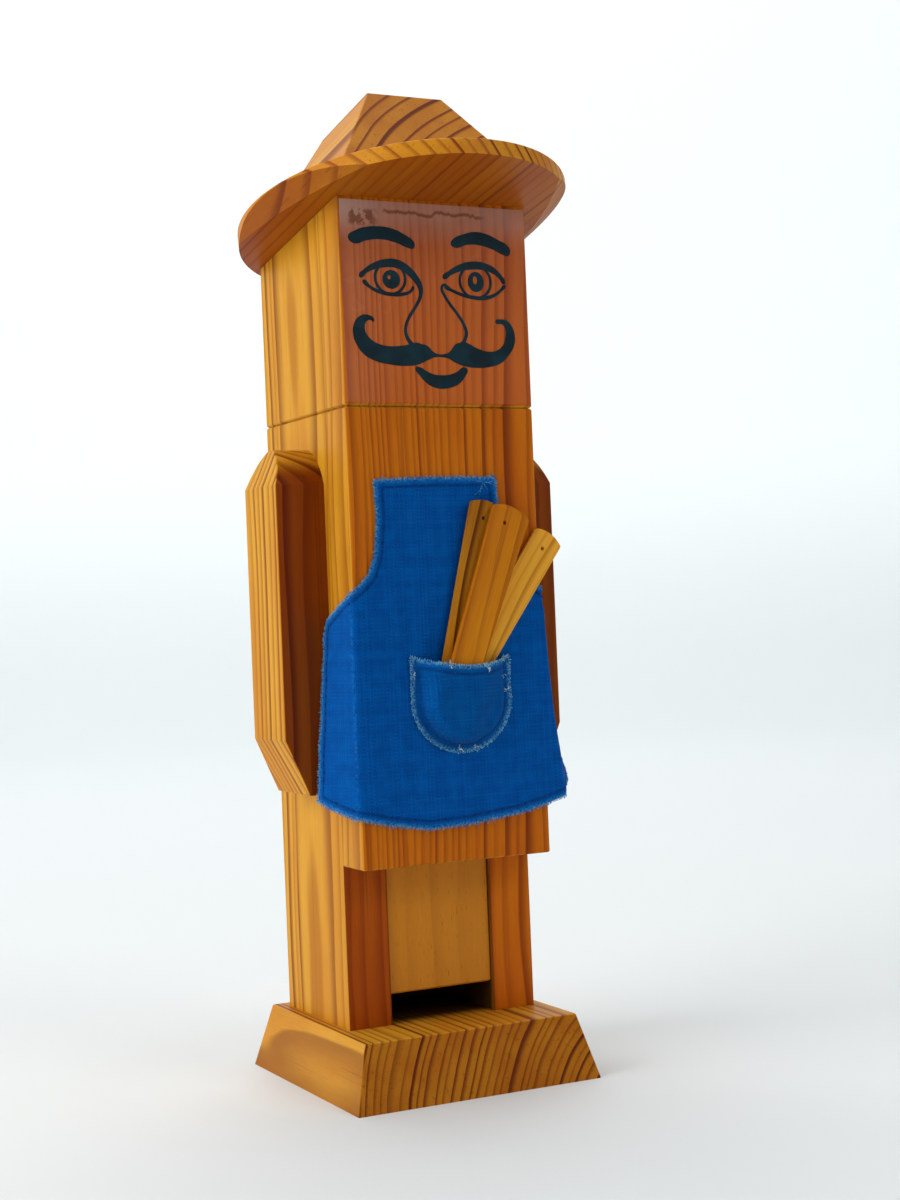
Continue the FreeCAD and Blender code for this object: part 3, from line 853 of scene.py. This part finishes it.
def stitches(name, line, place_at, thread, body):
    """A sewn seam: short rounded stitches sunk a little into the cloth."""
    bm = bmesh.new()
    for spot, way in walk(line, STITCH + STITCH_GAP):
        start = place_at(*(spot - way * STITCH / 2))
        end = place_at(*(spot + way * STITCH / 2))
        turn = (end - start).to_track_quat("X", "Z").to_matrix().to_4x4()
        size = Matrix.Diagonal((STITCH / 2 * MM, STITCH_RADIUS * MM, STITCH_RADIUS * MM, 1))
        bmesh.ops.create_icosphere(
            bm, subdivisions=1, radius=1.0,
            matrix=Matrix.Translation((start + end) / 2) @ turn @ size,
        )
    seam = piece_from(bm, name)
    for face in seam.data.polygons:
        face.use_smooth = True
    dress(seam, thread)
    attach(seam, body)
    return seam


def threads(name, runs, radius, finish, body):
    """Loose threads, each a thin round curve through its own points."""
    curve = bpy.data.curves.new(name, "CURVE")
    curve.dimensions = "3D"
    curve.bevel_depth = radius * MM
    curve.bevel_resolution = 0
    curve.resolution_u = 2
    curve.use_fill_caps = True
    for points in runs:
        spline = curve.splines.new("NURBS")
        spline.points.add(len(points) - 1)
        for knot, point in zip(spline.points, points):
            knot.co = (*point, 1)
        spline.order_u = 3
        spline.use_endpoint_u = True
    holder = bpy.data.objects.new(name, curve)
    mesh = bpy.data.meshes.new_from_object(holder)
    mesh.name = name
    bpy.data.objects.remove(holder)
    bpy.data.curves.remove(curve)
    made = bpy.data.objects.new(name, mesh)
    SCENE.collection.objects.link(made)
    dress(made, finish)
    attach(made, body)
    return made


def fringe_runs(line, place_at, step, long, seed):
    """Frayed thread ends that stick out of a cut edge, each its own length and lean."""
    chance = random.Random(seed)
    runs = []
    for spot, way in walk(line, step):
        outward = Vector((way.y, -way.x))
        length = long * chance.uniform(0.45, 1.15) * (2.0 if chance.random() < 0.06 else 1.0)
        lean = way * chance.uniform(-0.55, 0.55) * length
        lift = chance.uniform(-0.05, 0.45)
        root = spot - outward * 0.9
        middle = spot + outward * length * 0.5 + lean * 0.3
        tip = spot + outward * length + lean
        runs.append([
            place_at(*root, 0.1), place_at(*middle, 0.1 + lift), place_at(*tip, 0.1 + lift * 0.6),
        ])
    return runs


def tuft_runs(place_at, spot, count, long, seed, stand=1.0):
    """A tuft of loose threads round one point of a cloth, standing off it or lying down."""
    chance = random.Random(seed)
    runs = []
    for _ in range(count):
        turn = chance.uniform(0, 2 * math.pi)
        way = Vector((math.cos(turn), math.sin(turn)))
        length = long * chance.uniform(0.5, 1.2)
        bend = Vector((-way.y, way.x)) * chance.uniform(-0.5, 0.5) * length
        lift = chance.uniform(0.3, 1.3) * stand
        root = Vector(spot) + way * 0.2
        runs.append([
            place_at(*root, 0.2),
            place_at(*(root + way * length * 0.4 + bend * 0.2), 0.3 + lift * 0.6),
            place_at(*(root + way * length * 0.75 + bend), 0.3 + lift),
            place_at(*(root + way * length + bend * 1.6), 0.2 + lift * 0.7),
        ])
    return runs


def weave(finish, across, up):
    """Height of the threads of a plain weave from 0 to 1, and each thread's own shade."""
    warp_wave = (across * (math.pi / THREAD_PITCH)).sine()
    weft_wave = (up * (math.pi / THREAD_PITCH)).sine()
    over = (warp_wave * weft_wave).above(0.0)
    height = over * warp_wave.size() + (1 - over) * weft_wave.size()
    own = finish.chance((across / THREAD_PITCH).floor()) * over
    own = own + finish.chance((up / THREAD_PITCH).floor() + WEFT_SEED) * (1 - over)
    return height, own


def canvas(name, light, dark, pale, seam_inset, creases=()):
    """Plain-weave canvas drawn on the flat cloth, paler at its edge and along its creases, with
    painted shade in the hollows of the weave and along the sewn seam.

    Each crease is an upright line, as (place across, half width, strength)."""
    finish = Finish(name, Roughness=0.9, Sheen_Weight=0.02, Specular_IOR_Level=0.03)
    flat = finish.node("UVMap", {"uv_map": "flat_cloth"}).outputs[0]
    u, v, _ = finish.split(flat)
    across = (u - 0.5) * UV_SIZE
    up = v * UV_SIZE + UV_FOOT
    height, own = weave(finish, across, up)
    blotch = finish.noise(flat, 26.0, 3.0)
    edge = Number(finish, finish.node("Attribute", {"attribute_name": "from_edge"}).outputs["Fac"])
    cloth = finish.mix(own * 0.42 + blotch.rise(0.3, 0.7) * 0.28, light, dark)
    # Painted shade: the hollows between the threads are made darker.
    cloth = finish.mix((1 - height.rise(0.1, 0.7)) * 0.6, cloth, dark)
    rubbed = (1 - edge.rise(0.5, 1.8)) * finish.noise(flat, 150.0, 1.0).rise(0.35, 0.6) * 0.7
    for place, width, amount in creases:
        line = 1 - (across - place).size().rise(0.2, width)
        broken = finish.noise(flat, 90.0, 1.0).rise(0.4, 0.65)
        rubbed = rubbed.most(line * broken * amount)
    # Painted shade: a dark line along the groove of the seam.
    seam = (edge - seam_inset).size().rise(0.0, 0.9)
    cloth = finish.mix((1 - seam) * 0.5, cloth, tone("00285f"))
    cloth = finish.mix(rubbed * (own * 0.6 + 0.4), cloth, pale)
    finish.colour(cloth)
    finish.bump(height + seam * 0.7 + blotch * 0.3, 0.16, 0.8)
    return finish


def fibre_finish(name, first, second, scale=0.35):
    finish = Finish(name, Roughness=0.9, Sheen_Weight=0.05, Specular_IOR_Level=0.08)
    mottle = finish.noise(finish.object_place(), scale, 2.0)
    finish.colour(finish.mix(mottle.rise(0.38, 0.62), first, second))
    return finish


def make_apron():
    apron = grid_piece("apron_cloth", APRON_CELLS, apron_flat, apron_place)
    thicken(apron)
    dress(apron, canvas(
        "apron_canvas", tone("0060b8"), tone("003a82"), tone("3d92cc"), APRON_SEAM,
        creases=((-37.0, 0.8, 0.28),),
    ))
    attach(apron, "column")
    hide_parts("apron")
    around = outline(apron_flat)
    dark = fibre_finish("seam_thread", tone("022c66"), tone("063c84"))
    seam = stitches("apron_seam", inset(around, APRON_SEAM),
                    lambda a, z: apron_place(a, z, APRON_SEAM_LIFT), dark, "column")
    pale = fibre_finish("frayed_thread", tone("1468ac"), tone("5fa6cc"), 1.2)
    fringe = fringe_runs(around, apron_place, step=0.5, long=0.75, seed=11)
    fray = threads("apron_fray", fringe, FRAY_RADIUS, pale, "column")
    loose = tuft_runs(apron_place, (15.0, 208.8), count=6, long=4.0, seed=5, stand=0.1)
    loose += tuft_runs(apron_place, (50.5, 163.6), count=9, long=3.2, seed=6)
    ends = threads("apron_loose_threads", loose, LOOSE_RADIUS, pale, "column")


def pocket_flat(u, v):
    """The pocket's cut outline: straight top with a slight sag, straight sides, round foot."""
    across = math.sin((u - 0.5) * math.pi)
    foot = POCKET_BEND - POCKET_DROP * math.sqrt(max(1 - across * across, 0))
    top = POCKET_TOP - POCKET_SAG * (1 - (across - 0.12) ** 2) + 0.3 * across
    return POCKET_MIDDLE + POCKET_HALF * across, foot + (top - foot) * v


def pocket_seam_distance(across, height):
    """Distance inwards from the sewn sides and foot of the pocket, in millimetres."""
    x = (across - POCKET_MIDDLE) / POCKET_HALF
    if height >= POCKET_BEND:
        return (1 - abs(x)) * POCKET_HALF
    z = (POCKET_BEND - height) / POCKET_DROP
    return (1 - math.hypot(x, z)) * (POCKET_HALF + POCKET_DROP) / 2


def pocket_place(across, height, lift=0.0):
    """Where a point of the flat pocket lies: sewn rim on the apron, panel standing off it."""
    inside = pocket_seam_distance(across, height)
    puff = min(max((inside - POCKET_SEAM + 0.2) / POCKET_RIM, 0), 1)
    puff = puff * (2 - puff)
    lean = math.radians(SLAT_LEANS["front"])
    off_rule = abs((across - RIVET.x) * math.cos(lean) - (height - RIVET.z) * math.sin(lean))
    pushed = 1 - 0.6 * ease(off_rule, 7.0, 17.0)
    crinkle = noise.noise(Vector((across * 0.16, 1.3, height * 0.13)))
    depth = puff * pushed * (POCKET_BULGE + 0.2 * crinkle) + 0.15 * crinkle + 0.2
    back = APRON_MIDDLE - CLOTH_THICK - 0.15
    return Vector((across, back - depth - lift, height)) * MM


# Tufts on the pocket, as (across, up, number of threads, length)
POCKET_TUFTS = (
    (9.0, 144.8, 9, 1.5), (19.2, 147.8, 9, 1.3), (-5.0, 146.6, 7, 1.3), (18.6, 141.8, 5, 1.1),
    (20.4, 136.4, 8, 1.1), (-15.4, 143.0, 5, 1.0), (0.6, 117.4, 5, 1.2), (7.4, 117.6, 5, 1.0),
)
POCKET_TUFT_SEED = 40


def make_pocket():
    pocket = grid_piece("pocket_cloth", POCKET_CELLS, pocket_flat, pocket_place)
    thicken(pocket)
    dress(pocket, canvas(
        "pocket_canvas", tone("005ca8"), tone("003c80"), tone("6fb0d4"), POCKET_SEAM,
    ))
    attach(pocket, "column")
    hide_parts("pocket")
    around = outline(pocket_flat)
    dark = fibre_finish("pocket_seam_thread", tone("022c66"), tone("063c84"))
    seam = stitches("pocket_seam", inset(around, POCKET_SEAM),
                    lambda a, z: pocket_place(a, z, POCKET_SEAM_LIFT), dark, "column")
    pale = fibre_finish("pocket_frayed_thread", tone("1f76b4"), tone("86c0d8"), 1.4)
    fringe = fringe_runs(around, pocket_place, step=0.45, long=0.45, seed=23)
    fray = threads("pocket_fray", fringe, FRAY_RADIUS, pale, "column")
    white = fibre_finish("white_thread", tone("7fb4cc"), tone("d4dcd6"), 0.8)
    loose = []
    for seed, (a, z, count, long) in enumerate(POCKET_TUFTS, POCKET_TUFT_SEED):
        loose += tuft_runs(pocket_place, (a, z), count, long, seed)
    ends = threads("pocket_tufts", loose, TUFT_RADIUS, white, "column")


# ---------------------------------------------------------------- room

def make_room():
    """A pale floor that curves up into a plain wall all round, painted greyer on the camera's side
    as shade.
    """
    bm = bmesh.new()
    profile = [Vector((0, 0, 0)), Vector((ROOM_RADIUS - ROOM_CURVE, 0, 0))]
    for i in range(1, ROOM_CURVE_STEPS + 1):
        angle = math.radians(90) * i / ROOM_CURVE_STEPS
        profile.append(Vector((
            ROOM_RADIUS - ROOM_CURVE + ROOM_CURVE * math.sin(angle), 0,
            ROOM_CURVE * (1 - math.cos(angle)),
        )))
    profile.append(Vector((ROOM_RADIUS, 0, ROOM_HEIGHT)))
    verts = [bm.verts.new(point) for point in profile]
    edges = [bm.edges.new(pair) for pair in zip(verts, verts[1:])]
    bmesh.ops.spin(bm, geom=verts + edges, cent=(0, 0, 0), axis=(0, 0, 1), steps=64,
                   angle=math.radians(360), use_merge=True)
    bmesh.ops.remove_doubles(bm, verts=bm.verts, dist=0.0001)
    bmesh.ops.recalc_face_normals(bm, faces=bm.faces)
    bmesh.ops.reverse_faces(bm, faces=bm.faces)
    room = piece_from(bm, "floor_and_wall")
    for face in room.data.polygons:
        face.use_smooth = True
    paper = Finish("paper_white", Roughness=0.75, Specular_IOR_Level=0.2)
    place = paper.node("TexCoord").outputs["Object"]
    shade = paper.noise(place, 3.0, 3.0)
    _, depth, height = paper.split(place)
    sheet = paper.mix(shade * 0.3, tone("e3e4e4"), tone("dcdede"))
    sheet = paper.mix(height.rise(0.05, 0.5), sheet, tone("f4f6f6"))
    # Painted shade: the room is greyer on the camera's side.
    paper.colour(paper.mix(1 - depth.rise(-1.4, -0.5), sheet, tone("c6cacb")))
    dress(room, paper)


def make_lamp(name, place, aim, size, power, colour):
    """A rectangular lamp that stands at place and shines towards aim."""
    light = bpy.data.lights.new(name, "AREA")
    light.shape = "RECTANGLE"
    light.size = size[0]
    light.size_y = size[1]
    light.energy = power
    light.color = colour
    lamp = bpy.data.objects.new(name, light)
    SCENE.collection.objects.link(lamp)
    lamp.location = place
    lamp.rotation_euler = (Vector(aim) - Vector(place)).to_track_quat("-Z", "Y").to_euler()


def make_lights():
    for lamp in LAMPS:
        make_lamp(*lamp)
    world = bpy.data.worlds.new("room_light")
    world.use_nodes = True
    background = world.node_tree.nodes["Background"]
    background.inputs["Color"].default_value = DAYLIGHT
    background.inputs["Strength"].default_value = DAYLIGHT_STRENGTH
    SCENE.world = world
    SCENE.view_settings.view_transform = "Standard"


def make_camera():
    lens = bpy.data.cameras.new("camera")
    lens.lens = CAMERA_LENS
    lens.clip_start = 0.02
    camera = bpy.data.objects.new("camera", lens)
    SCENE.collection.objects.link(camera)
    turn = Matrix.Rotation(CAMERA_YAW, 4, "Z") @ Matrix.Rotation(CAMERA_PITCH, 4, "X")
    turn = turn @ Matrix.Rotation(CAMERA_ROLL, 4, "Y") @ Matrix.Rotation(math.radians(90), 4, "X")
    camera.matrix_world = Matrix.Translation(CAMERA_PLACE) @ turn
    SCENE.camera = camera


make_camera()
make_room()
make_lights()
paint_column()
paint_base_and_arms()
paint_hat()
paint_small_wood()
paint_slats()
paint_metal()
paint_film()
print_face()
make_apron()
make_pocket()
